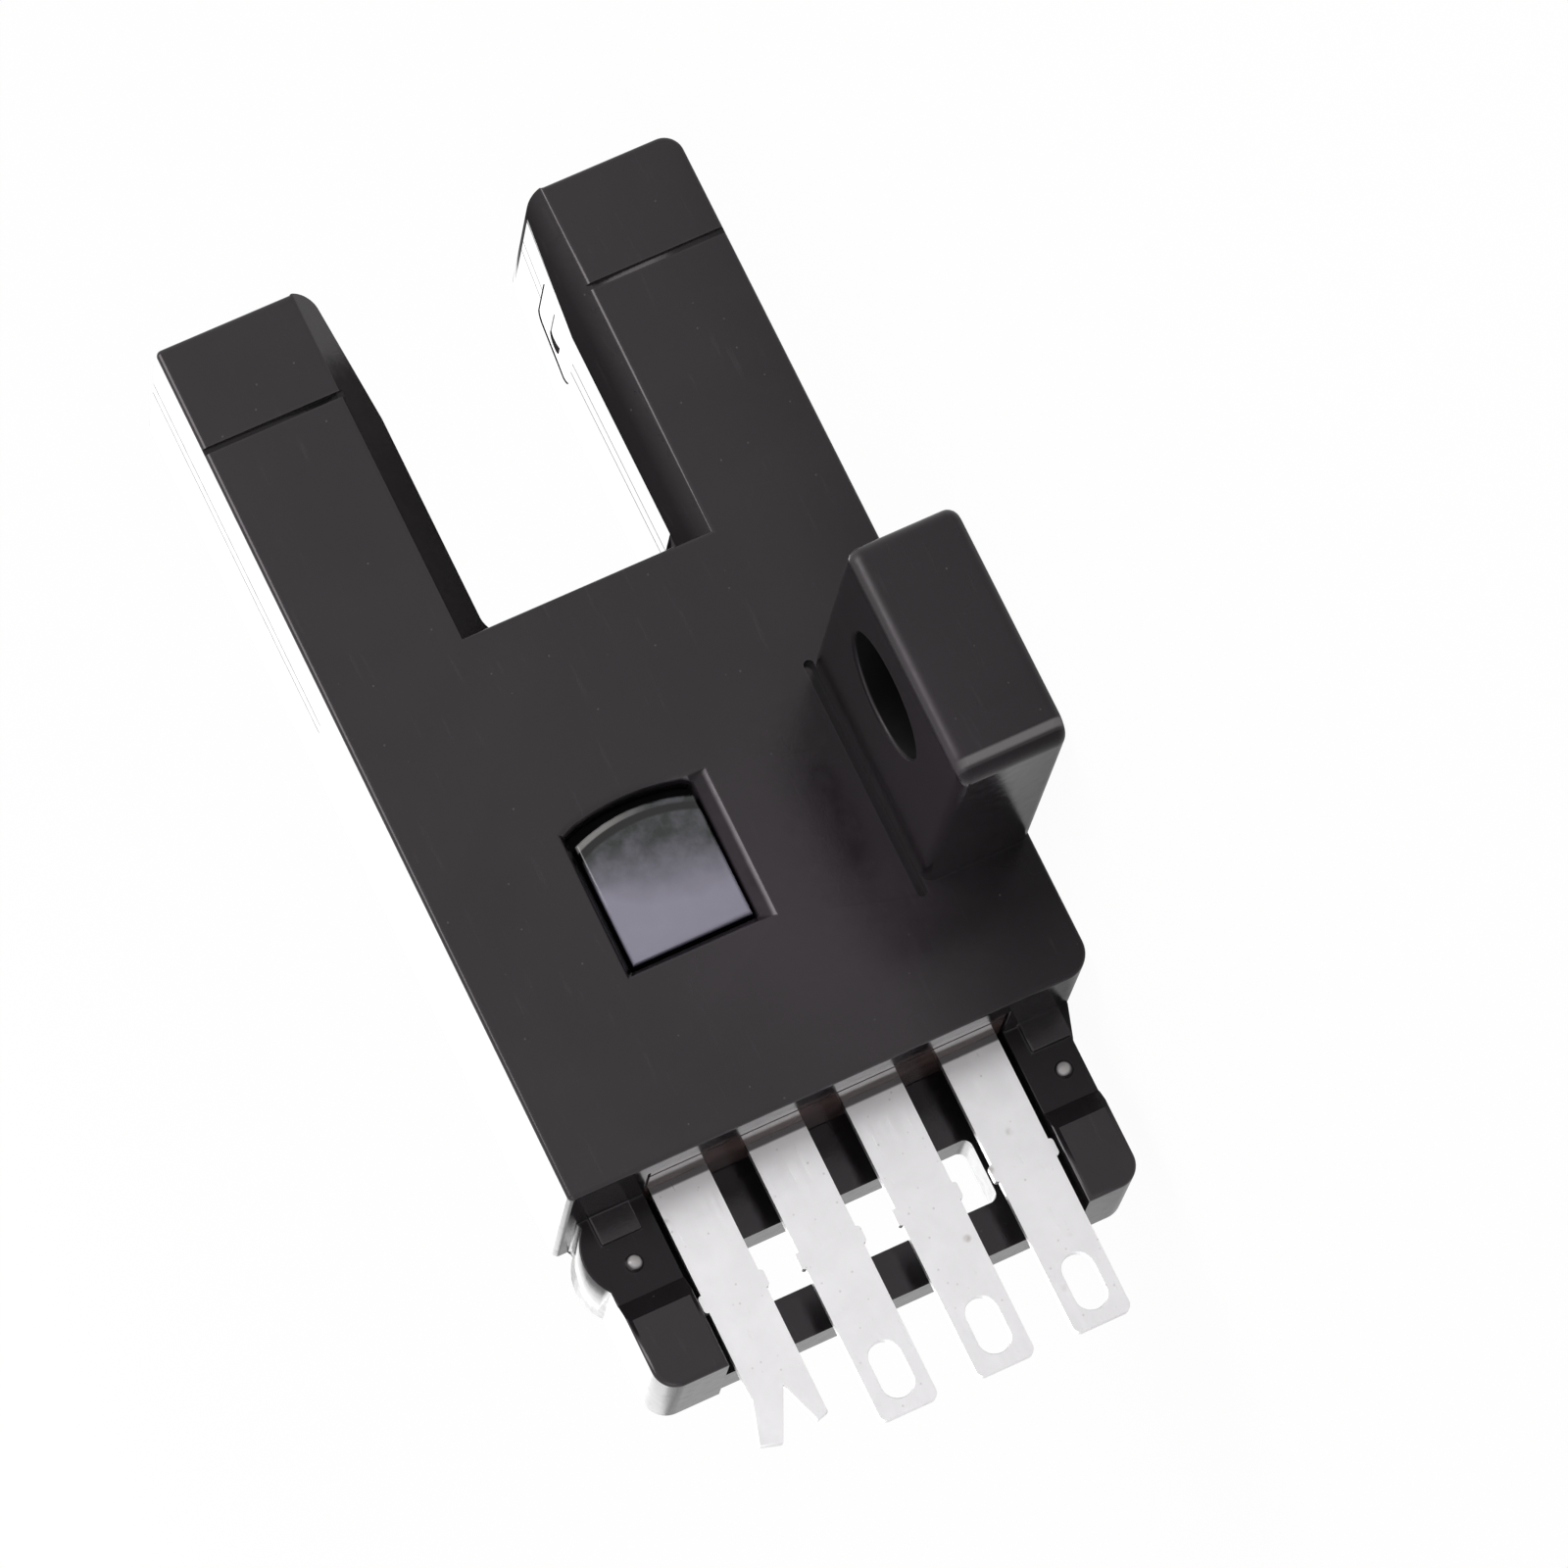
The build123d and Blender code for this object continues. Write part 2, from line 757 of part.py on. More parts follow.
parts = {
    "case": case(),
    "rear_cover": rear_cover(),
    "indicator_window": indicator_window(),
    "emitter_window": slot_window(slot_far, 1),
    "receiver_window": receiver_window(),
    "terminal_block": terminal_block(),
    "circuit_board": circuit_board(),
    "terminal_solder": Compound([solder_joint(z) for z in terminal_places()]),
    "emitter_led": domed(emitter_z, emitter_length, emitter_height, -1),
    "emitter_contacts": Compound(emitter_contacts),
    "receiver_chip": domed(receiver_z, receiver_length, receiver_height, 1),
    "receiver_contacts": Compound(receiver_contacts),
    "indicator_lamp": indicator_lamp(),
    "control_chip": moulded_chip(control_x, transistor_z, chip_length, chip_width, chip_height),
    "control_chip_leads": Compound(control_leads),
    "output_transistor": moulded_chip(
        transistor_x, transistor_z, chip_length, transistor_width, transistor_height
    ),
    "output_transistor_leads": Compound(transistor_leads),
    "protection_diode": moulded_chip(diode_x, diode_z, diode_length, diode_width, diode_height),
    "protection_diode_leads": Compound(diode_leads),
    "bypass_capacitor": chip_component(
        capacitor_x, capacitor_z, capacitor_length, capacitor_width, capacitor_height
    ),
}
for number, z in enumerate(terminal_places(), start=1):
    parts[f"terminal_{number}"] = open_terminal(z) if number == 1 else terminal(z)
for i, name in enumerate(("emitter_resistor", "bias_resistor", "output_resistor")):
    x = resistor_x - i * resistor_step
    parts[name] = chip_component(x, resistor_z, resistor_length, resistor_width, resistor_height)

os.makedirs("parts", exist_ok=True)
for name, solid in parts.items():
    export_step(solid, f"parts/{name}.step")
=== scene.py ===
import math

import bmesh
import bpy
from bpy.props import FloatProperty, FloatVectorProperty, IntProperty, PointerProperty
from bpy.types import Operator, Panel, PropertyGroup
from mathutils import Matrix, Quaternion, Vector


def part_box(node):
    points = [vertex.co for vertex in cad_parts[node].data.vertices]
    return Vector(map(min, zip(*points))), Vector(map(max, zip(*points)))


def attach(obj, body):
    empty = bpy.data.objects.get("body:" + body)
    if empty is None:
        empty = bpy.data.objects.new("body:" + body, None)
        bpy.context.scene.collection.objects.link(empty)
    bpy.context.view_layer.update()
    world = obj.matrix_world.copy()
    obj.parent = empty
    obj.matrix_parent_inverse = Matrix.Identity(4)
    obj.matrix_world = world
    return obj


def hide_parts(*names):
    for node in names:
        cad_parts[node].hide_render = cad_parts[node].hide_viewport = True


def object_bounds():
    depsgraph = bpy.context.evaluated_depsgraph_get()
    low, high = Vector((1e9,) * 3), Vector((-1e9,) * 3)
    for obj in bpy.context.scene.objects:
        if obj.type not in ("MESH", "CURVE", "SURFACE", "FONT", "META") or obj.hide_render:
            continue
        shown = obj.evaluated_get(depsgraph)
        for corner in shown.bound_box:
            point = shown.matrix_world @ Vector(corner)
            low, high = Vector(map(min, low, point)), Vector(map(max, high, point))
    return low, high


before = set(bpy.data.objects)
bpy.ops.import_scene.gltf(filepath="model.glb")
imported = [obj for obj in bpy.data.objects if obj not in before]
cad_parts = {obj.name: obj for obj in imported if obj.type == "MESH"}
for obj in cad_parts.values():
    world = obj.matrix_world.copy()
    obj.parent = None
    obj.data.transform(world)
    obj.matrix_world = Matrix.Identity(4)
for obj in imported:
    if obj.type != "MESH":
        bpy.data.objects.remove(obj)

bl_info = {
    "name": "Slot sensor",
    "version": (1, 0, 0),
    "blender": (4, 5, 0),
    "location": "View3D > Sidebar > Slot sensor",
    "description": "Dresses the slot type photoelectric switch and sets up its studio",
    "category": "Object",
}

MM = 0.001
CAD_BOX = [list(corner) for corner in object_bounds()]
BLACK = (0.0, 0.0, 0.0)
NEAR_BLACK = (0.002, 0.002, 0.002)

# Eased copies. A face is wide, or one of its own, by its width in millimetres. An edge is eased
# where the edges round it are longer than the radius times EDGE_ROOM.
MERGE = 0.002
BLADE_MERGE = 0.016
CORNER_ANGLE = math.radians(46.0)
CHAMFER_ANGLE = math.radians(40.0)
FLAT_ANGLE = math.radians(0.6)
SAME_TURN = math.cos(math.radians(58.0))
WIDE_FACE = 0.3
OWN_FACE = 0.42
EDGE_ROOM = 2.2
EASING_STEPS = 2
PANE_EASING = 0.04

# Places on the housing in millimetres: spans along X to the tips, Y to the back and Z up
SLOT_START_X = (6.5, 6.6)
SLOT_WALL_Y = (-1.95, -1.9)
SLOT_WALLS_Z = (3.9, 9.8)
BEVEL_Y = (-2.64, -1.9)
BEVEL_FADE_Y = (-2.65, -2.2)
BEVEL_STRENGTH = (0.45, 0.9)
NEAR_BEVEL_Z = (3.5, 4.36)
FAR_BEVEL_Z = (9.34, 10.2)
PARTING_Y = (-0.015, 0.015)
WALL_SEAM_Y = (-0.6, -0.57)
MARK_X = (13.18, 13.32)
MARK_Y = (-2.6, -2.5)
OPENING_X = (-2.75, 1.35)
OPENING_Y = (-2.68, -2.64)
OPENING_Z = (6.3, 6.7)
HOLE_OUT = 7.75
HOLE_RADIUS = (1.62, 1.66)
HOLE_Z = (2.7, 2.76)
EAR_FACE_Y = (-11.07, -11.0)
EAR_RIM_Y = (-10.85, -10.75)
EAR_RIM_Z = (2.42, 2.52)
EAR_LIP_X = (-3.0, -2.87)
EAR_LIP_Y = (-10.85, -10.6)
EAR_LIP_Z = (2.5, 2.75)
EAR_UNDER_X = (-3.36, -3.12)
EAR_UNDER_Y = (-10.6, -10.4)
STUD_X = -8.2
STUDS_Z = 6.85
STUD_OUT = 5.62
STUD_RADIUS = (0.13, 0.2)
STUD_Y = (-0.12, -0.06)
# Centre of the painted sheen on the front face
SHEEN_X = -2.6
SHEEN_Z = 5.4
# The corner of the front face under the ear, which gets painted shade
EAR_SHADE_X = (-4.6, -2.6)
EAR_SHADE_Y = (-3.0, -2.6)
EAR_SHADE_Z = (2.2, 4.6)

# The indicator opening and its pane in millimetres. CURVE is the radius of the arched top and
# CROWN its highest point. The arch's painted highlight and painted shadow are spans inward from it.
OPENING_INSET = 0.12
OPENING_BEVEL = 0.2
OPENING_DEPTH = 0.7
PANE_FLANGE = 0.3
PANE_SLACK = 0.02
LEDGE_DEPTH = 0.35
LEDGE_DROP = 0.24
PANE_CURVE = 4.15
PANE_CROWN = 1.24
PANE_DRIFT = 1.1
PANE_LEAN = -0.3
PANE_LIT = 1.65
PANE_SHADED = 1.4
ARCH_HIGHLIGHT = (-0.02, 0.15)
ARCH_HIGHLIGHT_Z = (-0.5, 0.7)
ARCH_SHADOW = (0.2, 0.34)
GROOVE_DEPTH = (0.13, 0.2)

# The terminal block: the painted shade line across its face, and the painted shadow where a blade
# leaves it
SHADE_LINE_Y = (-1.36, -1.26)
ROOT_SHADOW_X = (-0.14, 0.1)

# The studio in metres: each lamp's setting, place, size and colour, and the fitted camera
CENTRE = (0.001, 0.0, 0.007)
LAMPS = {
    "key": ("key", (0.2, -0.26, 0.3), (0.3, 0.3), (1.0, 0.98, 0.98)),
    "fill": ("fill", (-0.3, -0.2, 0.22), (0.25, 0.25), (0.97, 0.98, 1.0)),
    "back_card": ("back", (0.067, 0.3, 0.09), (0.34, 0.14), (1.0, 1.0, 1.0)),
}
FLOOR_SIZE = 1.5
FLOOR_GAP = 0.01
CAMERA_PLACE = (-0.0534640, -0.2355903, 0.0540937)
CAMERA_TURN = (0.347058, 0.402381, 0.486815, -0.693291)
CAMERA_SENSOR = 36.0
CAMERA_CLIP = (0.01, 10.0)


# Materials

def scaled(colour, share):
    """A colour made lighter or darker."""
    return [value * share for value in colour]


class Finish:
    """A material being built, with the piece's own coordinates in millimetres."""

    def __init__(self, name):
        self.material = bpy.data.materials.new(name)
        self.material.use_nodes = True
        self.tree = self.material.node_tree
        self.tree.nodes.clear()
        self.output = self.node("ShaderNodeOutputMaterial")
        self.shader = self.node("ShaderNodeBsdfPrincipled")
        self.join(self.shader.outputs["BSDF"], self.output.inputs["Surface"])
        self.coordinates = self.node("ShaderNodeTexCoord").outputs["Object"]
        self.place = self.mapped((1.0, 1.0, 1.0))

    def node(self, kind, **settings):
        """A node of the given kind with its settings."""
        made = self.tree.nodes.new(kind)
        for key, value in settings.items():
            setattr(made, key, value)
        return made

    def join(self, source, socket):
        """Links an output to an input."""
        self.tree.links.new(source, socket)

    def feed(self, socket, value):
        """Gives an input a link or a constant."""
        if isinstance(value, bpy.types.NodeSocket):
            self.join(value, socket)
        elif hasattr(value, "__len__") and len(value) == 3 and socket.type == "RGBA":
            socket.default_value = (*value, 1.0)
        else:
            socket.default_value = value

    def set(self, **values):
        """Sets the shader's own inputs, with underscores for the spaces in their names."""
        for key, value in values.items():
            self.feed(self.shader.inputs[key.replace("_", " ")], value)

    def mapped(self, stretch, offset=(0.0, 0.0, 0.0)):
        """The coordinates in millimetres, stretched and shifted."""
        mapping = self.node("ShaderNodeMapping")
        self.join(self.coordinates, mapping.inputs["Vector"])
        mapping.inputs["Scale"].default_value = [value / MM for value in stretch]
        mapping.inputs["Location"].default_value = offset
        return mapping.outputs["Vector"]

    def noise(self, scale, detail=2.0, roughness=0.5, distortion=0.0, place=None):
        """Noise with a number of features per millimetre."""
        made = self.node("ShaderNodeTexNoise")
        self.join(place or self.place, made.inputs["Vector"])
        made.inputs["Scale"].default_value = scale
        made.inputs["Detail"].default_value = detail
        made.inputs["Roughness"].default_value = roughness
        made.inputs["Distortion"].default_value = distortion
        return made.outputs["Fac"]

    def cells(self, scale, place=None, feature="F1"):
        """The distance inside random cells, with a number of cells per millimetre."""
        made = self.node("ShaderNodeTexVoronoi", feature=feature)
        self.join(place or self.place, made.inputs["Vector"])
        made.inputs["Scale"].default_value = scale
        return made.outputs["Distance"]

    def span(self, value, low, high, to_low=0.0, to_high=1.0):
        """Maps a value from one span to another, and holds it at the ends."""
        made = self.node("ShaderNodeMapRange", clamp=True)
        self.feed(made.inputs["Value"], value)
        made.inputs["From Min"].default_value = low
        made.inputs["From Max"].default_value = high
        made.inputs["To Min"].default_value = to_low
        made.inputs["To Max"].default_value = to_high
        return made.outputs["Result"]

    def fade(self, value, low, high):
        """A mask that is 1 up to the low value and 0 from the high one on."""
        return self.span(value, low, high, 1.0, 0.0)

    def band(self, value, low, high, soft):
        """A mask that is 1 between two values, with soft sides."""
        return self.product(self.span(value, low - soft, low), self.fade(value, high, high + soft))

    def math(self, operation, first, second=0.0):
        """One sum of two values."""
        made = self.node("ShaderNodeMath", operation=operation)
        self.feed(made.inputs[0], first)
        self.feed(made.inputs[1], second)
        return made.outputs[0]

    def product(self, first, *others):
        """The product of several values."""
        for other in others:
            first = self.math("MULTIPLY", first, other)
        return first

    def most(self, first, *others):
        """The largest of several values."""
        for other in others:
            first = self.math("MAXIMUM", first, other)
        return first

    def distance(self, first, second):
        """How far a point is from where both values are zero."""
        squares = [self.math("POWER", value, 2.0) for value in (first, second)]
        return self.math("SQRT", self.math("ADD", *squares))

    def blend(self, factor, first, second):
        """A mix of two colours."""
        made = self.node("ShaderNodeMix", data_type="RGBA")
        self.feed(made.inputs["Factor"], factor)
        self.feed(made.inputs[6], first)
        self.feed(made.inputs[7], second)
        return made.outputs[2]

    def over(self, tone, colour, mask, share=1.0):
        """Lays a colour over a tone where the mask is, at a share of its strength."""
        return self.blend(mask if share == 1.0 else self.product(mask, share), tone, colour)

    def axis(self, index, place=None):
        """One of the three coordinates."""
        made = self.node("ShaderNodeSeparateXYZ")
        self.join(place or self.place, made.inputs[0])
        return made.outputs[index]

    def edge_wear_and_sheen(self, radius, low=0.01, high=0.2):
        """A mask that is 1 on the outer edges."""
        bevel = self.node("ShaderNodeBevel", samples=6)
        bevel.inputs["Radius"].default_value = radius * MM
        geometry = self.node("ShaderNodeNewGeometry")
        dot = self.node("ShaderNodeVectorMath", operation="DOT_PRODUCT")
        self.join(bevel.outputs["Normal"], dot.inputs[0])
        self.join(geometry.outputs["Normal"], dot.inputs[1])
        return self.span(self.math("SUBTRACT", 1.0, dot.outputs["Value"]), low, high)

    def bump(self, height, strength, depth, under=None):
        """Relief of the given depth in millimetres, over another relief."""
        made = self.node("ShaderNodeBump")
        self.feed(made.inputs["Height"], height)
        made.inputs["Strength"].default_value = strength
        made.inputs["Distance"].default_value = depth * MM
        if under:
            self.join(under, made.inputs["Normal"])
        self.join(made.outputs["Normal"], self.shader.inputs["Normal"])
        return made.outputs["Normal"]


def slot_masks(f, x, y, z):
    """The bevels of the near and the far tine along the slot, and the walls behind them."""
    inside = f.span(x, *SLOT_START_X)
    bevelled = f.product(f.band(y, *BEVEL_Y, 0.02), inside)
    strength = f.span(y, *BEVEL_FADE_Y, *BEVEL_STRENGTH)
    near = f.product(f.band(z, *NEAR_BEVEL_Z, 0.02), strength, bevelled)
    far = f.product(f.band(z, *FAR_BEVEL_Z, 0.02), bevelled)
    return near, far, f.product(inside, f.span(y, *SLOT_WALL_Y))


def ear_masks(f, x, y, z):
    """The bores of both ears, and the face, upper rim, lower edge and underside of the front ear.
    The bores, the face and the underside take painted shade, the lower edge a painted highlight.
    """
    out = f.math("SUBTRACT", f.math("ABSOLUTE", y), HOLE_OUT)
    bore = f.product(f.fade(f.distance(out, x), *HOLE_RADIUS), f.fade(z, *HOLE_Z))
    rim = f.product(f.fade(y, *EAR_RIM_Y), f.span(z, *EAR_RIM_Z))
    lip_highlight = f.product(f.fade(y, *EAR_LIP_Y), f.band(x, *EAR_LIP_X, 0.06), f.fade(z, *EAR_LIP_Z))
    under = f.product(f.fade(y, *EAR_UNDER_Y), f.band(x, *EAR_UNDER_X, 0.04))
    return bore, f.fade(y, *EAR_FACE_Y), rim, lip_highlight, under


def front_masks(f, x, y, z):
    """The near bevel of the indicator opening, the mark line, a painted sheen over the middle of
    the front face and painted shade in the low corner under the ear.
    """
    opening = f.product(f.band(z, *OPENING_Z, 0.03), f.band(x, *OPENING_X, 0.05))
    opening = f.product(opening, f.span(y, *OPENING_Y))
    mark = f.product(f.band(x, *MARK_X, 0.02), f.fade(y, *MARK_Y))
    across = f.product(f.math("SUBTRACT", z, SHEEN_Z), 0.28)
    along = f.product(f.math("SUBTRACT", x, SHEEN_X), 0.24)
    middle = f.math("ADD", f.distance(across, along), f.noise(0.35, 3.0))
    low = f.product(f.fade(x, *EAR_SHADE_X), f.fade(z, *EAR_SHADE_Z), f.band(y, *EAR_SHADE_Y, 0.1))
    return opening, mark, f.fade(middle, 0.8, 1.8), low


def stud_glints(f, x, y, z):
    """Painted glints on the tips of the two studs on the skirt's legs."""
    side = f.math("SUBTRACT", f.math("ABSOLUTE", f.math("SUBTRACT", z, STUDS_Z)), STUD_OUT)
    away = f.distance(side, f.math("SUBTRACT", x, STUD_X))
    return f.product(f.fade(away, *STUD_RADIUS), f.fade(y, *STUD_Y))


def housing_places(f, tone, rough):
    """Dresses the places of the housing that differ, and returns a mask for its relief."""
    x, y, z = (f.axis(index) for index in range(3))
    near, far, wall = slot_masks(f, x, y, z)
    bore, face, rim, lip_highlight, under = ear_masks(f, x, y, z)
    opening, mark, middle, low = front_masks(f, x, y, z)
    parting = f.band(y, *PARTING_Y, 0.02)
    seams = f.most(parting, f.band(y, *WALL_SEAM_Y, 0.02))
    calm = f.math("SUBTRACT", 1.0, f.product(wall, f.band(z, *SLOT_WALLS_Z, 0.1)))

    # Painted sheen: the middle of the front face is painted lighter
    tone = f.over(tone, (0.02, 0.015, 0.0195), middle)
    # Painted highlight along the ear's lower front edge
    tone = f.over(tone, (0.15, 0.145, 0.145), lip_highlight, 0.9)
    # Painted sheen: the far tine's bevel is painted lighter than the moulding round it
    tone = f.over(tone, (0.024, 0.022, 0.022), far)
    tone = f.over(tone, (0.5, 0.48, 0.48), stud_glints(f, x, y, z), 0.8)
    # Painted shade: the inside of the ear bores is near black
    tone = f.over(tone, (0.0015, 0.0015, 0.0015), bore)

    rough = f.math("ADD", rough, f.product(f.most(near, rim), 0.22))
    rough = f.math("ADD", rough, f.product(f.most(bore, opening), 0.4))
    rough = f.most(f.product(rough, calm), 0.06)
    rough = f.math("ADD", rough, f.product(seams, wall, 0.7))

    # Painted shade: the ear's front face reflects less than the body
    tint = f.over((1.0, 0.94, 0.98), (0.3, 0.28, 0.32), face, 0.3)
    # Painted shade: the corner under the ear reflects less, for the ear's shadow and reflection
    # there
    tint = f.over(tint, (0.1, 0.09, 0.1), low, 0.5)
    # Painted shade: reflection is taken out on the near bevel, in the bores, along the mark line,
    # on the near bevel of the indicator opening and under the ear; along the parting line it
    # darkens the joint
    painted_shade_and_seams = f.most(near, f.product(bore, 0.95), f.product(parting, 0.6), f.product(mark, 0.5))
    painted_shade_and_seams = f.most(painted_shade_and_seams, f.product(f.most(opening, under), 0.7))
    f.set(Base_Color=tone, Roughness=rough, Specular_Tint=f.over(tint, BLACK, painted_shade_and_seams))
    return calm


def moulded_black(name, colour, gloss, grain_depth, places=None):
    """Black moulding compound: fine spark grain, faint flow mottle, handling marks and dust."""
    f = Finish(name)
    flow = f.noise(0.22, 3.0, 0.55, 0.6)
    grain = f.noise(16.0, 3.0, 0.6)
    soft = f.noise(3.5, 2.0, 0.5)
    rub = f.noise(1.0, 4.0, 0.6, 0.3, f.mapped((0.5, 0.5, 6.0)))
    marks = f.span(rub, 0.62, 0.72)
    dust = f.fade(f.cells(1.7), 0.03, 0.055)
    tone = f.blend(f.span(flow, 0.35, 0.7), colour, scaled(colour, 1.5))
    tone = f.over(tone, (0.06, 0.058, 0.06), marks, 0.12)
    # Outer edges painted lighter: part edge wear, part painted highlight
    tone = f.over(tone, (0.05, 0.048, 0.05), f.edge_wear_and_sheen(0.12), 0.25)
    tone = f.over(tone, (0.18, 0.17, 0.16), dust, 0.25)
    rough = f.span(soft, 0.3, 0.7, gloss - 0.03, gloss + 0.05)
    rough = f.math("ADD", rough, f.product(marks, 0.05))
    if places:
        calm = places(f, tone, rough)
        soft = f.product(soft, calm)
        grain = f.product(grain, calm)
    else:
        f.set(Base_Color=tone, Roughness=rough, Specular_Tint=(1.0, 0.94, 0.98))
    under = f.bump(soft, 0.08, 0.02)
    f.bump(grain, 0.22, grain_depth, under)
    return f.material


def plated_strip(name, colour, gloss, root=None):
    """Tin plated strip: rolling lines along the blade, matte clouds and small tarnish specks, with
    a painted shadow where a blade leaves the block.
    """
    f = Finish(name)
    lines = f.noise(3.0, 4.0, 0.65, 0.0, f.mapped((0.25, 5.0, 5.0)))
    cloud = f.noise(0.9, 3.0, 0.6, 0.4)
    specks = f.fade(f.cells(1.1), 0.06, 0.14)
    small = f.fade(f.cells(3.1, f.mapped((1.0, 1.0, 1.0), (3.0, 5.0, 7.0))), 0.05, 0.12)
    stain = f.product(specks, f.span(cloud, 0.45, 0.6))
    stain = f.most(stain, f.product(small, 0.6))
    tone = f.blend(f.span(cloud, 0.35, 0.65), colour, scaled(colour, 0.95))
    tone = f.over(tone, (0.32, 0.27, 0.24), stain, 0.55)
    # Painted shadow at the blade's root, just under the block's face
    if root:
        root_shadow = f.band(f.axis(0), root + ROOT_SHADOW_X[0], root + ROOT_SHADOW_X[1], 0.05)
        tone = f.over(tone, (0.03, 0.026, 0.026), root_shadow, 0.85)
    rough = f.span(lines, 0.3, 0.7, gloss - 0.06, gloss + 0.08)
    rough = f.math("ADD", rough, f.product(stain, 0.2))
    f.set(Base_Color=tone, Roughness=rough, Metallic=1.0)
    f.bump(lines, 0.12, 0.01)
    return f.material


def smoky_resin(name, colour, gloss, clear):
    """Smoky translucent compound of the terminal block, with a painted shade line across its face.
    """
    f = Finish(name)
    swirl = f.noise(0.7, 3.0, 0.55, 1.2)
    shade_line = f.band(f.axis(1), *SHADE_LINE_Y, 0.03)
    tone = f.blend(f.span(swirl, 0.35, 0.65), colour, scaled(colour, 0.5))
    rough = f.span(f.noise(5.0, 2.0), 0.3, 0.7, gloss - 0.03, gloss + 0.05)
    # Painted shade: a dark line across the block's face, with its reflection taken out
    f.set(
        Base_Color=f.over(tone, (0.004, 0.003, 0.003), shade_line),
        Roughness=f.math("ADD", rough, f.product(shade_line, 0.5)),
        Specular_Tint=f.over((1.0, 0.95, 0.94), BLACK, shade_line, 0.9),
        Transmission_Weight=clear,
        IOR=1.54,
    )
    f.bump(f.noise(6.0, 3.0), 0.1, 0.01)
    return f.material


def grey_pane(name, colour, shade, gloss):
    """The grey translucent cap: painted shade in its groove and under its upper rim, a painted
    highlight along the rim, lilac grey below.
    """
    f = Finish(name)
    low, high = (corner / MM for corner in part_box("indicator_window"))
    x, y, z = (f.axis(index) for index in range(3))
    across = f.math("SUBTRACT", z, (low.z + high.z) / 2)
    cloud = f.noise(2.2, 3.0, 0.6)
    drift = f.product(f.math("SUBTRACT", f.noise(0.7, 2.0), 0.5), PANE_DRIFT)
    along = f.math("ADD", x, f.math("ADD", drift, f.product(across, PANE_LEAN)))
    # Painted shade: the upper part of the pane takes the shade colour, the lower part the lit
    # colour
    tone = f.blend(f.span(along, low.x + PANE_LIT, high.x - PANE_SHADED), colour, shade)
    tone = f.blend(f.span(cloud, 0.4, 0.7, 0.0, 0.2), tone, scaled(colour, 1.2))
    away = f.math("SUBTRACT", x, PANE_CROWN - PANE_CURVE)
    inward = f.math("SUBTRACT", PANE_CURVE, f.distance(away, across))
    tone = f.over(tone, NEAR_BLACK, f.band(inward, *ARCH_SHADOW, 0.06))
    # Painted highlight along the arch's rim
    rim = f.product(f.band(inward, *ARCH_HIGHLIGHT, 0.04), f.span(across, *ARCH_HIGHLIGHT_Z))
    tone = f.over(tone, (0.3, 0.285, 0.28), rim, 0.6)
    # Painted shade: the groove and the ledge round the pane are near black and reflect less
    groove = f.span(y, low.y + GROOVE_DEPTH[0], low.y + GROOVE_DEPTH[1])
    rough = f.span(cloud, 0.3, 0.7, gloss - 0.03, gloss + 0.06)
    f.set(
        Base_Color=f.over(tone, NEAR_BLACK, groove),
        Roughness=f.math("ADD", rough, f.product(groove, 0.5)),
        Specular_Tint=f.over((1.0, 1.0, 1.0), BLACK, groove, 0.75),
        IOR=1.5,
    )
    f.bump(f.noise(1.2, 2.0), 0.1, 0.02)
    return f.material


def infrared_filter(name, colour):
    """Dark filter plastic with a smooth face and faint wipe marks."""
    f = Finish(name)
    wipe = f.noise(1.2, 3.0, 0.6, 0.2, f.mapped((0.6, 3.0, 1.0)))
    tone = f.blend(f.span(wipe, 0.4, 0.7), colour, scaled(colour, 1.8))
    f.set(Base_Color=tone, Roughness=f.span(wipe, 0.35, 0.7, 0.07, 0.16))
    f.set(Coat_Weight=0.3, Coat_Roughness=0.05)
    f.bump(f.noise(2.0), 0.05, 0.01)
    return f.material


def solder_mask(name, colour):
    """Green solder resist over glass weave, with the copper tracks just raised."""
    f = Finish(name)
    weaves = [f.node("ShaderNodeTexWave", bands_direction=axis) for axis in "XZ"]
    for weave in weaves:
        f.join(f.place, weave.inputs["Vector"])
        weave.inputs["Scale"].default_value = 0.8
        weave.inputs["Distortion"].default_value = 0.4
    cloth = f.product(*(weave.outputs["Fac"] for weave in weaves))
    tracks = f.fade(f.cells(0.55, feature="DISTANCE_TO_EDGE"), 0.06, 0.1)
    light = scaled(colour, 1.7)
    f.set(Base_Color=f.over(f.over(colour, light, cloth, 0.3), light, tracks))
    f.set(Roughness=f.span(f.noise(4.0), 0.3, 0.7, 0.28, 0.42))
    under = f.bump(cloth, 0.1, 0.01)
    f.bump(tracks, 0.4, 0.03, under)
    return f.material


def bright_solder(name, colour):
    """Solder with a frosted skin."""
    f = Finish(name)
    frost = f.noise(7.0, 4.0, 0.7)
    f.set(Base_Color=f.blend(frost, colour, scaled(colour, 0.7)), Metallic=1.0)
    f.set(Roughness=f.span(frost, 0.3, 0.7, 0.2, 0.42))
    f.bump(f.noise(3.0, 3.0), 0.35, 0.04)
    return f.material


def cast_resin(name, colour, gloss):
    """Clear or dark casting resin with a smooth skin and a few flow lines."""
    f = Finish(name)
    flow = f.noise(0.9, 3.0, 0.5, 1.0)
    f.set(Base_Color=f.blend(f.span(flow, 0.3, 0.7), colour, scaled(colour, 0.8)))
    f.set(Roughness=f.span(flow, 0.3, 0.7, gloss, gloss + 0.08), Coat_Weight=0.2)
    f.bump(flow, 0.1, 0.02)
    return f.material


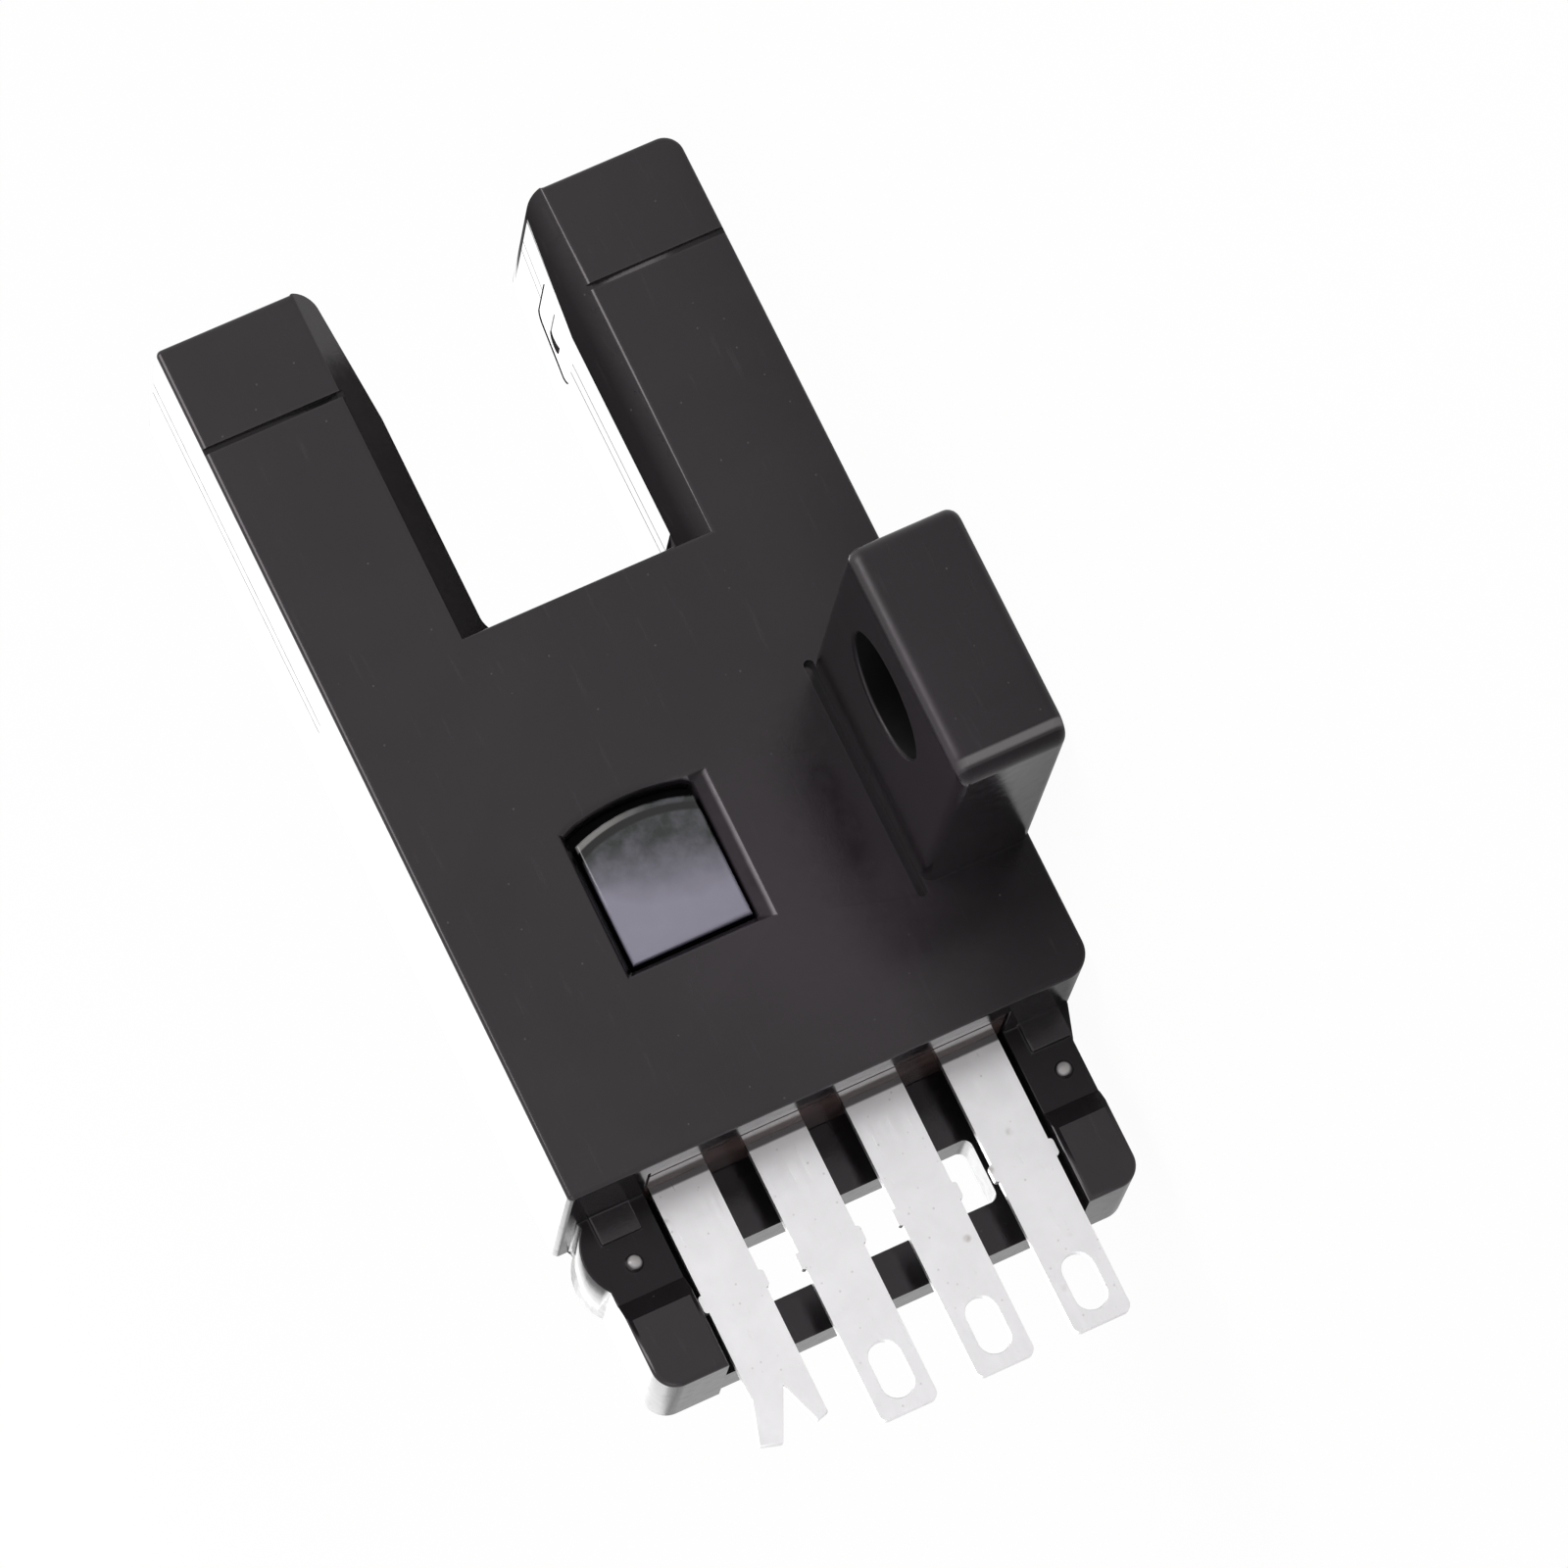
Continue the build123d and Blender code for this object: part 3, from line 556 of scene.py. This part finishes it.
def chip_compound(name, colour):
    """Black moulding compound with filler grains and a rough skin."""
    f = Finish(name)
    grain = f.noise(18.0, 3.0, 0.7)
    f.set(Base_Color=f.blend(f.span(grain, 0.4, 0.7), colour, scaled(colour, 2.2)))
    f.set(Roughness=f.span(grain, 0.3, 0.7, 0.45, 0.65))
    f.bump(grain, 0.3, 0.01)
    return f.material


def tinned_ceramic(name, colour, node):
    """A chip component: a ceramic middle between two tinned ends."""
    f = Finish(name)
    low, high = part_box(node)
    middle = (low.x + high.x) / 2 / MM
    half = (high.x - low.x) / 2 / MM
    away = f.math("ABSOLUTE", f.math("SUBTRACT", f.axis(0), middle))
    away = f.math("ADD", away, f.product(f.noise(5.0), 0.06))
    ends = f.span(away, half - 0.3, half - 0.26)
    grain = f.noise(12.0, 3.0)
    body = f.blend(grain, colour, scaled(colour, 1.4))
    f.set(Base_Color=f.over(body, (0.72, 0.72, 0.74), ends), Metallic=ends)
    f.set(Roughness=f.span(grain, 0.3, 0.7, 0.3, 0.5))
    f.bump(grain, 0.2, 0.01)
    return f.material


# Pieces

def dress(node, material):
    """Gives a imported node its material."""
    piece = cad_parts[node]
    piece.data.materials.clear()
    piece.data.materials.append(material)


def is_wide(face):
    """Whether a face is a face of its own rather than one step of a rounded edge."""
    return face.calc_area() > WIDE_FACE * MM * max(edge.calc_length() for edge in face.edges)


def is_sharp(edge):
    """Whether an edge is a corner: steep, or the side of a flat chamfer."""
    angle = edge.calc_face_angle(0.0)
    chamfered = angle > CHAMFER_ANGLE and all(is_wide(face) for face in edge.link_faces)
    return angle > CORNER_ANGLE or chamfered


def has_room(edge, radius):
    """Whether the edges round about are long enough for an eased corner."""
    around = [other for vert in edge.verts for other in vert.link_edges]
    return all(other.calc_length() > EDGE_ROOM * radius for other in around)


def flat_regions(bm):
    """The flat region that each face belongs to, and whether each region is a face of its own."""
    region = {}
    own = []
    for start in bm.faces:
        if start in region:
            continue
        region[start] = len(own)
        group = [start]
        for face in group:
            for edge in face.edges:
                if edge.calc_face_angle(math.pi) > FLAT_ANGLE:
                    continue
                for other in edge.link_faces:
                    if other not in region:
                        region[other] = len(own)
                        group.append(other)
        places = [vert.co for face in group for vert in face.verts]
        reach = max((place - places[0]).length for place in places)
        own.append(sum(face.calc_area() for face in group) > OWN_FACE * MM * reach)
    return region, own


def shading_normals(bm):
    """A normal for each corner: flat faces stay flat, and eased strips turn between them."""
    region, own = flat_regions(bm)
    normals = []
    for face in bm.faces:
        for loop in face.loops:
            if own[region[face]]:
                normals.append(face.normal.copy())
                continue
            near = [
                other for other in loop.vert.link_loops
                if other.face.normal.dot(face.normal) > SAME_TURN
            ]
            flat = {
                region[other.face]: other.face.normal for other in near if own[region[other.face]]
            }
            mixed = Vector()
            if flat:
                for normal in flat.values():
                    mixed += normal
            else:
                for other in near:
                    mixed += other.face.normal * other.calc_angle()
            normals.append(mixed.normalized() if mixed.length > 0.0 else face.normal.copy())
    return normals


def narrow_opening(bm):
    """Brings in the sides of the indicator opening, and widens the bevel of its near side."""
    low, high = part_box("indicator_window")
    flange = (PANE_FLANGE + PANE_SLACK) * MM
    for vert in bm.verts:
        place = vert.co
        inside = low.x < place.x < high.x and low.z < place.z < high.z
        if place.y > low.y + OPENING_DEPTH * MM or not inside:
            continue
        if place.z > high.z - flange:
            place.z -= OPENING_INSET * MM
        if place.z < low.z + flange and place.y > low.y - 0.1 * MM:
            place.z += OPENING_BEVEL * MM
        if place.x < low.x + flange:
            place.x += OPENING_INSET * MM


def deepen_ledge(bm):
    """Sinks the ledge round the indicator pane."""
    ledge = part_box("indicator_window")[0].y + LEDGE_DEPTH * MM
    for vert in bm.verts:
        if abs(vert.co.y - ledge) < PANE_SLACK * MM:
            vert.co.y += LEDGE_DROP * MM


def eased_copy(node, name, material, radius, segments, merge=MERGE, reshape=None):
    """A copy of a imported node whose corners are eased, standing in for it."""
    bm = bmesh.new()
    bm.from_mesh(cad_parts[node].data)
    bmesh.ops.remove_doubles(bm, verts=bm.verts, dist=merge * MM)
    bmesh.ops.dissolve_limit(
        bm, angle_limit=FLAT_ANGLE, use_dissolve_boundaries=False,
        verts=bm.verts, edges=bm.edges, delimit=set(),
    )
    if reshape:
        reshape(bm)
    corners = [edge for edge in bm.edges if is_sharp(edge) and has_room(edge, radius * MM)]
    many_sided = [face for face in bm.faces if len(face.verts) > 4]
    bmesh.ops.triangulate(bm, faces=many_sided, quad_method="BEAUTY", ngon_method="BEAUTY")
    bmesh.ops.bevel(
        bm, geom=corners, offset=radius * MM, offset_type="OFFSET", segments=segments, profile=0.5,
        affect="EDGES", material=-1, clamp_overlap=False, loop_slide=True,
    )
    for face in bm.faces:
        face.smooth = True
    bm.normal_update()
    normals = shading_normals(bm)
    mesh = bpy.data.meshes.new(name)
    bm.to_mesh(mesh)
    bm.free()
    mesh.normals_split_custom_set(normals)
    mesh.materials.append(material)
    piece = bpy.data.objects.new(name, mesh)
    bpy.context.scene.collection.objects.link(piece)
    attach(piece, "root")
    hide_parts(node)


# Settings

class HousingSettings(PropertyGroup):
    """The moulded housing and its rear cover."""

    colour: FloatVectorProperty(
        name="Colour", description="Colour of the moulding compound", subtype="COLOR", size=3,
        default=(0.0085, 0.0075, 0.0082), min=0.0, max=1.0,
    )
    gloss: FloatProperty(
        name="Roughness", description="Roughness of the satin face", default=0.17,
        min=0.0, max=1.0,
    )
    grain: FloatProperty(
        name="Grain depth", description="Depth of the spark grain in millimetres", default=0.006,
        min=0.0, max=0.1,
    )
    easing: FloatProperty(
        name="Edge radius", description="Radius of the eased edges in millimetres", default=0.05,
        min=0.0, max=0.2,
    )
    segments: IntProperty(
        name="Edge segments", description="Steps across each eased edge", default=EASING_STEPS,
        min=1, max=6,
    )


class WindowSettings(PropertyGroup):
    """The indicator window and the two infrared windows."""

    pane: FloatVectorProperty(
        name="Pane colour", description="Colour of the lit part of the indicator window",
        subtype="COLOR", size=3, default=(0.24, 0.23, 0.29), min=0.0, max=1.0,
    )
    # The colour of the painted shade under the pane's upper rim
    shade: FloatVectorProperty(
        name="Pane shade", description="Colour of the pane under its upper rim", subtype="COLOR",
        size=3, default=(0.018, 0.022, 0.02), min=0.0, max=1.0,
    )
    filter: FloatVectorProperty(
        name="Filter colour", description="Colour of the infrared windows", subtype="COLOR",
        size=3, default=(0.012, 0.006, 0.01), min=0.0, max=1.0,
    )
    gloss: FloatProperty(
        name="Pane roughness", description="Roughness of the indicator window", default=0.16,
        min=0.0, max=1.0,
    )


class TerminalSettings(PropertyGroup):
    """The terminals and the block that carries them."""

    metal: FloatVectorProperty(
        name="Plating colour", description="Colour of the tin plating", subtype="COLOR", size=3,
        default=(0.92, 0.91, 0.925), min=0.0, max=1.0,
    )
    gloss: FloatProperty(
        name="Plating roughness", description="Roughness of the tin plating", default=0.33,
        min=0.0, max=1.0,
    )
    easing: FloatProperty(
        name="Sheared edge radius", description="Radius of the sheared edges in millimetres",
        default=0.02, min=0.0, max=0.1,
    )
    smoke: FloatVectorProperty(
        name="Block colour", description="Colour of the smoky terminal block", subtype="COLOR",
        size=3, default=(0.12, 0.08, 0.076), min=0.0, max=1.0,
    )
    clearness: FloatProperty(
        name="Block clearness", description="How much light passes through the terminal block",
        default=0.3, min=0.0, max=1.0, subtype="FACTOR",
    )


class BoardSettings(PropertyGroup):
    """The circuit board and what it carries."""

    mask: FloatVectorProperty(
        name="Solder resist", description="Colour of the solder resist", subtype="COLOR", size=3,
        default=(0.012, 0.11, 0.04), min=0.0, max=1.0,
    )
    solder: FloatVectorProperty(
        name="Solder", description="Colour of the solder", subtype="COLOR", size=3,
        default=(0.68, 0.68, 0.7), min=0.0, max=1.0,
    )


class StageSettings(PropertyGroup):
    """The studio round the sensor."""

    lens: FloatProperty(
        name="Lens", description="Focal length of the camera in millimetres", default=238.596,
        min=10.0, max=1000.0,
    )
    key: FloatProperty(
        name="Key light", description="Power of the large light in front and above, in watts",
        default=1.2, min=0.0, max=20.0,
    )
    fill: FloatProperty(
        name="Fill light", description="Power of the light at the other side, in watts",
        default=0.16, min=0.0, max=20.0,
    )
    back: FloatProperty(
        name="Back card", description="Power of the low card behind the sensor, in watts",
        default=0.3, min=0.0, max=20.0,
    )
    sky: FloatProperty(
        name="Surrounding light", description="Strength of the even light all round", default=0.6,
        min=0.0, max=2.0,
    )
    floor: FloatVectorProperty(
        name="Floor colour", description="Colour of the pale floor", subtype="COLOR", size=3,
        default=(0.86, 0.86, 0.86), min=0.0, max=1.0,
    )
    floor_white: FloatProperty(
        name="Floor whiteness", description="How white the floor looks to the camera",
        default=0.96, min=0.0, max=1.0, subtype="FACTOR",
    )
    floor_mirrored: FloatProperty(
        name="Mirrored whiteness", description="How white the floor looks in glossy surfaces",
        default=0.2, min=0.0, max=1.0, subtype="FACTOR",
    )


# Operators

class SENSOR_OT_housing(Operator):
    """Make the moulded housing with eased edges and its satin black finish"""

    bl_idname = "sensor.housing"
    bl_label = "Housing"

    def execute(self, context):
        s = context.scene.sensor_housing
        black = moulded_black("housing_black", tuple(s.colour), s.gloss, s.grain, housing_places)
        eased_copy(
            "case", "housing", black, s.easing, s.segments, reshape=narrow_opening,
        )
        return {"FINISHED"}


class SENSOR_OT_rear_cover(Operator):
    """Give the rear cover its own black finish, a little darker and duller than the housing's"""

    bl_idname = "sensor.rear_cover"
    bl_label = "Rear cover"

    def execute(self, context):
        s = context.scene.sensor_housing
        black = moulded_black("cover_black", scaled(s.colour, 0.9), s.gloss + 0.04, s.grain)
        dress("rear_cover", black)
        return {"FINISHED"}


class SENSOR_OT_windows(Operator):
    """Finish the indicator window and the infrared windows in the slot"""

    bl_idname = "sensor.windows"
    bl_label = "Windows"

    def execute(self, context):
        s = context.scene.sensor_windows
        pane = grey_pane("pane_grey", tuple(s.pane), tuple(s.shade), s.gloss)
        eased_copy(
            "indicator_window", "indicator_pane", pane, PANE_EASING, EASING_STEPS,
            reshape=deepen_ledge,
        )
        dark = infrared_filter("filter_dark", tuple(s.filter))
        for node in ("emitter_window", "receiver_window"):
            dress(node, dark)
        return {"FINISHED"}


class SENSOR_OT_terminal_block(Operator):
    """Finish the smoky block that carries the terminals"""

    bl_idname = "sensor.terminal_block"
    bl_label = "Terminal block"

    def execute(self, context):
        s = context.scene.sensor_terminals
        dress("terminal_block", smoky_resin("block_smoke", tuple(s.smoke), 0.08, s.clearness))
        return {"FINISHED"}


class SENSOR_OT_terminals(Operator):
    """Make the plated terminals with their sheared edges eased"""

    bl_idname = "sensor.terminals"
    bl_label = "Terminals"

    def execute(self, context):
        s = context.scene.sensor_terminals
        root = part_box("terminal_block")[0].x / MM
        plating = plated_strip("terminal_plating", tuple(s.metal), s.gloss, root)
        for number in range(1, 5):
            eased_copy(
                f"terminal_{number}", f"terminal_blade_{number}", plating,
                s.easing, EASING_STEPS, BLADE_MERGE,
            )
        return {"FINISHED"}


class SENSOR_OT_board(Operator):
    """Finish the circuit board and the solder on the terminals' tails"""

    bl_idname = "sensor.board"
    bl_label = "Circuit board"

    def execute(self, context):
        s = context.scene.sensor_board
        dress("circuit_board", solder_mask("board_green", tuple(s.mask)))
        dress("terminal_solder", bright_solder("solder_bright", tuple(s.solder)))
        return {"FINISHED"}


class SENSOR_OT_components(Operator):
    """Finish the components on the circuit board"""

    bl_idname = "sensor.components"
    bl_label = "Components"

    def execute(self, context):
        lead = plated_strip("lead_plating", (0.72, 0.72, 0.72), 0.3)
        for node in (
            "emitter_contacts", "receiver_contacts", "control_chip_leads",
            "output_transistor_leads", "protection_diode_leads",
        ):
            dress(node, lead)
        dress("emitter_led", cast_resin("emitter_resin", (0.42, 0.45, 0.55), 0.1))
        dress("receiver_chip", cast_resin("receiver_resin", (0.012, 0.012, 0.016), 0.1))
        dress("indicator_lamp", cast_resin("lamp_resin", (0.7, 0.62, 0.35), 0.25))
        black = chip_compound("chip_black", (0.02, 0.02, 0.02))
        for node in ("control_chip", "output_transistor", "protection_diode"):
            dress(node, black)
        for node in ("emitter_resistor", "bias_resistor", "output_resistor"):
            dress(node, tinned_ceramic(node + "_ceramic", (0.02, 0.02, 0.025), node))
        node = "bypass_capacitor"
        dress(node, tinned_ceramic("capacitor_ceramic", (0.35, 0.22, 0.12), node))
        return {"FINISHED"}


# Studio

def area_light(name, place, size, power, colour):
    """A soft rectangular lamp that looks at the sensor."""
    data = bpy.data.lights.new(name, "AREA")
    data.shape = "RECTANGLE"
    data.size, data.size_y = size
    data.energy = power
    data.color = colour
    lamp = bpy.data.objects.new(name, data)
    bpy.context.scene.collection.objects.link(lamp)
    lamp.location = place
    lamp.rotation_mode = "QUATERNION"
    lamp.rotation_quaternion = (Vector(CENTRE) - Vector(place)).to_track_quat("-Z", "Y")
    lamp.visible_camera = False


def seen_white(tree, shader, share, mirrored):
    """Mixes a surface with plain white for the camera, and for mirrors by a share of its own."""
    path = tree.nodes.new("ShaderNodeLightPath")
    white = tree.nodes.new("ShaderNodeEmission")
    white.inputs["Strength"].default_value = 1.0
    rays = {"Is Camera Ray": share, "Is Transmission Ray": share, "Is Glossy Ray": mirrored}
    factor = None
    for ray, part in rays.items():
        weighed = tree.nodes.new("ShaderNodeMath")
        weighed.operation = "MULTIPLY"
        weighed.inputs[1].default_value = part
        tree.links.new(path.outputs[ray], weighed.inputs[0])
        if factor is None:
            factor = weighed.outputs[0]
            continue
        larger = tree.nodes.new("ShaderNodeMath")
        larger.operation = "MAXIMUM"
        tree.links.new(factor, larger.inputs[0])
        tree.links.new(weighed.outputs[0], larger.inputs[1])
        factor = larger.outputs[0]
    mix = tree.nodes.new("ShaderNodeMixShader")
    tree.links.new(factor, mix.inputs[0])
    tree.links.new(shader, mix.inputs[1])
    tree.links.new(white.outputs[0], mix.inputs[2])
    return mix.outputs[0]


def pale_floor(s):
    """The floor just under the sensor, which looks white to the camera."""
    bm = bmesh.new()
    bmesh.ops.create_grid(bm, x_segments=1, y_segments=1, size=FLOOR_SIZE)
    low = CAD_BOX[0][2] - FLOOR_GAP * MM
    bmesh.ops.translate(bm, verts=bm.verts, vec=(0.0, 0.0, low))
    mesh = bpy.data.meshes.new("floor")
    bm.to_mesh(mesh)
    bm.free()
    floor = bpy.data.objects.new("floor", mesh)
    bpy.context.scene.collection.objects.link(floor)
    f = Finish("floor_pale")
    f.set(Base_Color=tuple(s.floor), Roughness=0.9, Specular_IOR_Level=0.0)
    surface = seen_white(f.tree, f.shader.outputs["BSDF"], s.floor_white, s.floor_mirrored)
    f.join(surface, f.output.inputs["Surface"])
    mesh.materials.append(f.material)


def white_surroundings(strength):
    """A world that lights evenly, and looks white to the camera and in mirrors."""
    world = bpy.data.worlds.new("studio")
    bpy.context.scene.world = world
    world.use_nodes = True
    tree = world.node_tree
    tree.nodes.clear()
    output = tree.nodes.new("ShaderNodeOutputWorld")
    ground = tree.nodes.new("ShaderNodeBackground")
    ground.inputs["Strength"].default_value = strength
    tree.links.new(seen_white(tree, ground.outputs[0], 1.0, 1.0), output.inputs["Surface"])


def photo_camera(lens):
    """The camera that was fitted to the photo."""
    camera = bpy.data.cameras.new("camera")
    camera.lens = lens
    camera.sensor_width = CAMERA_SENSOR
    camera.clip_start, camera.clip_end = CAMERA_CLIP
    eye = bpy.data.objects.new("camera", camera)
    bpy.context.scene.collection.objects.link(eye)
    eye.location = CAMERA_PLACE
    eye.rotation_mode = "QUATERNION"
    eye.rotation_quaternion = Quaternion(CAMERA_TURN)
    bpy.context.scene.camera = eye


class SENSOR_OT_stage(Operator):
    """Set up the pale floor, the soft lights, the white surroundings and the camera"""

    bl_idname = "sensor.stage"
    bl_label = "Studio"

    def execute(self, context):
        s = context.scene.sensor_stage
        pale_floor(s)
        white_surroundings(s.sky)
        for name, (setting, place, size, colour) in LAMPS.items():
            area_light(name, place, size, getattr(s, setting), colour)
        photo_camera(s.lens)
        context.scene.view_settings.view_transform = "Standard"
        return {"FINISHED"}


class VIEW3D_PT_sensor(Panel):
    """The sensor's pieces and their settings"""

    bl_label = "Slot sensor"
    bl_idname = "VIEW3D_PT_sensor"
    bl_space_type = "VIEW_3D"
    bl_region_type = "UI"
    bl_category = "Slot sensor"

    def draw(self, context):
        for group, operators in SECTIONS:
            box = self.layout.box()
            settings = getattr(context.scene, group)
            for key in settings.__annotations__:
                box.prop(settings, key)
            for operator in operators:
                box.operator(operator.bl_idname)


GROUPS = {
    "sensor_housing": HousingSettings,
    "sensor_windows": WindowSettings,
    "sensor_terminals": TerminalSettings,
    "sensor_board": BoardSettings,
    "sensor_stage": StageSettings,
}
SECTIONS = (
    ("sensor_housing", (SENSOR_OT_housing, SENSOR_OT_rear_cover)),
    ("sensor_windows", (SENSOR_OT_windows,)),
    ("sensor_terminals", (SENSOR_OT_terminal_block, SENSOR_OT_terminals)),
    ("sensor_board", (SENSOR_OT_board, SENSOR_OT_components)),
    ("sensor_stage", (SENSOR_OT_stage,)),
)
CLASSES = (*GROUPS.values(), *(o for _, operators in SECTIONS for o in operators), VIEW3D_PT_sensor)


def register():
    for cls in CLASSES:
        bpy.utils.register_class(cls)
    for name, group in GROUPS.items():
        setattr(bpy.types.Scene, name, PointerProperty(type=group))


def unregister():
    for name in GROUPS:
        delattr(bpy.types.Scene, name)
    for cls in reversed(CLASSES):
        bpy.utils.unregister_class(cls)


def main():
    """Builds the sensor and its studio."""
    register()
    bpy.ops.sensor.housing()
    bpy.ops.sensor.rear_cover()
    bpy.ops.sensor.windows()
    bpy.ops.sensor.terminal_block()
    bpy.ops.sensor.terminals()
    bpy.ops.sensor.board()
    bpy.ops.sensor.components()
    bpy.ops.sensor.stage()


if __name__ == "__main__":
    main()
